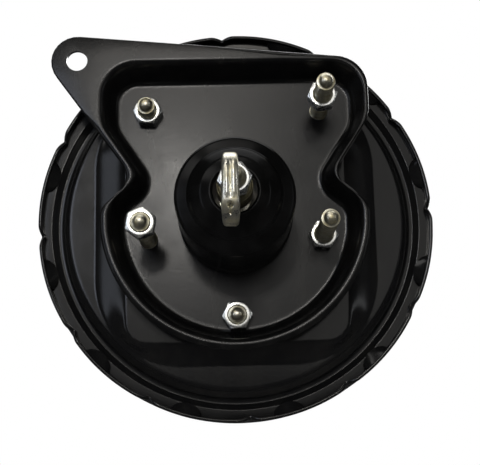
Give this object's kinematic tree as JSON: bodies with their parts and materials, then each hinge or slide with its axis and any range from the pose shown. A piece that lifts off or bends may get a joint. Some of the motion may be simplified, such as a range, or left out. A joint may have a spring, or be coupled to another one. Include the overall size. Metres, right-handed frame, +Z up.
{
  "type": "brake booster",
  "caption": "Single-diaphragm vacuum brake booster with an eared keyhole firewall bracket, push rod in a rubber boot, and master cylinder studs.",
  "frame": {"origin": "where the booster's axis meets the firewall plane, which is the bracket flange's outer face", "axes": "+Y along the booster's axis, forward to the master cylinder; +Z up; +X to the right as seen from the cabin"},
  "size_m": [0.1852, 0.205, 0.1852],
  "materials": {
    "black_enamel": "satin to gloss black enamel on pressed steel",
    "yellow_zinc": "yellow-olive passivated zinc plate",
    "white_zinc": "bright white zinc plate",
    "boot_rubber": "semi-gloss black rubber",
    "moulded_resin": "moulded black resin",
    "spring_steel": "oiled spring wire",
    "machined_steel": "turned steel",
    "filter_felt": "open felt"
  },
  "bodies": {
    "root": {"rear_shell": "black_enamel", "front_shell": "black_enamel", "mounting_bracket": "black_enamel", "firewall_studs": "yellow_zinc", "bracket_studs": "yellow_zinc", "bracket_nuts": "white_zinc", "firewall_nuts": "white_zinc", "boot": "boot_rubber", "neck_seal": "boot_rubber", "neck_guide": "moulded_resin", "seal_retainer": "white_zinc", "front_seal": "boot_rubber", "seal_cup": "white_zinc", "cylinder_studs": "yellow_zinc", "check_valve_body": "moulded_resin", "check_valve_grommet": "boot_rubber", "check_valve_spring": "spring_steel", "return_spring": "spring_steel"},
    "piston": {"valve_body": "moulded_resin", "support_plate": "white_zinc", "diaphragm": "boot_rubber", "reaction_disc": "boot_rubber", "output_rod": "machined_steel", "poppet_valve": "boot_rubber", "poppet_retainer": "white_zinc", "poppet_spring": "spring_steel", "rod_spring": "spring_steel", "air_filter": "filter_felt", "stop_key": "white_zinc"},
    "plunger": {"valve_plunger": "machined_steel"},
    "push_rod": {"input_rod": "yellow_zinc", "rod_collar": "yellow_zinc", "lock_nut": "white_zinc", "rod_end": "yellow_zinc", "eye_bushing": "machined_steel"},
    "check_disc": {"check_valve_poppet": "moulded_resin"}
  },
  "joints": [
    {"name": "piston_stroke", "type": "slide", "parent": "root", "child": "piston", "axis": [0, 1, 0], "range_m": [0, 0.028], "stiffness_N_per_m": 1500, "springref_m": -0.04, "deforming": ["return_spring", "diaphragm", "boot"]},
    {"name": "valve_travel", "type": "slide", "parent": "piston", "child": "plunger", "axis": [0, 1, 0], "range_m": [0, 0.002], "stiffness_N_per_m": 2500, "springref_m": -0.01, "deforming": ["rod_spring", "poppet_spring"]},
    {"name": "rod_tilt", "type": "hinge", "parent": "plunger", "child": "push_rod", "pos_m": [0, 0.014, 0], "axis": [1, 0, 0], "range_deg": [-1.5, 1.5], "stiffness_Nm_per_rad": 2},
    {"name": "check_valve_lift", "type": "slide", "parent": "root", "child": "check_disc", "axis": [0, 1, 0], "range_m": [0, 0.0015], "stiffness_N_per_m": 60, "springref_m": -0.003, "deforming": ["check_valve_spring"]}
  ]
}
